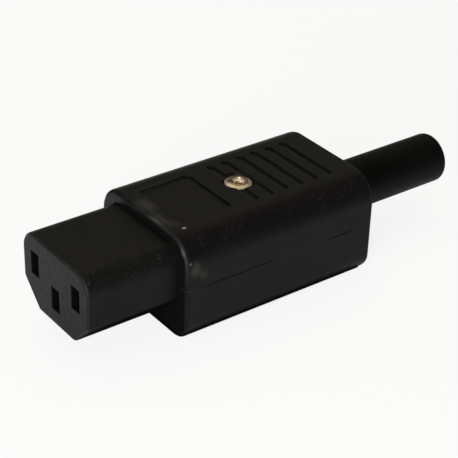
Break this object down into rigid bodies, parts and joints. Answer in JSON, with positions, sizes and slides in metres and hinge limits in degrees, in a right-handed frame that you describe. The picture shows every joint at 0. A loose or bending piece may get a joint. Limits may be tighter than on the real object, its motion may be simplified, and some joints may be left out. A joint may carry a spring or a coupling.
{
  "type": "c13 power connector",
  "caption": "Rewirable mains appliance connector: hexagonal nose with socket slots, two-part ribbed shell held by a screw, and a round cord boot.",
  "frame": {"origin": "on the mating face, midway between the line and neutral slots", "axes": "+X from the mating face to the cord end, +Y towards the line slot, +Z towards the nose's flat side"},
  "size_m": [0.0916, 0.0282, 0.0211],
  "materials": {
    "shell_plastic": "fine satin moulding, black",
    "nose_plastic": "satin moulding, black",
    "inner_plastic": "satin moulding, black",
    "boot_rubber": "soft satin, black",
    "screw_nickel": "warm nickel plating",
    "brass": "plain brass"
  },
  "bodies": {
    "root": {"upper_shell": "shell_plastic", "lower_shell": "shell_plastic", "contact_carrier": "nose_plastic", "contact_retainer": "inner_plastic", "cord_clamp": "inner_plastic", "clamp_screw_left": "screw_nickel", "clamp_screw_right": "screw_nickel", "cover_screw": "screw_nickel", "screw_insert": "brass", "boot": "boot_rubber", "line_contact": "brass", "line_clamp_plate": "screw_nickel", "line_terminal_screw": "screw_nickel", "neutral_contact": "brass", "neutral_clamp_plate": "screw_nickel", "neutral_terminal_screw": "screw_nickel", "earth_contact": "brass", "earth_clamp_plate": "screw_nickel", "earth_terminal_screw": "screw_nickel"}
  },
  "joints": []
}
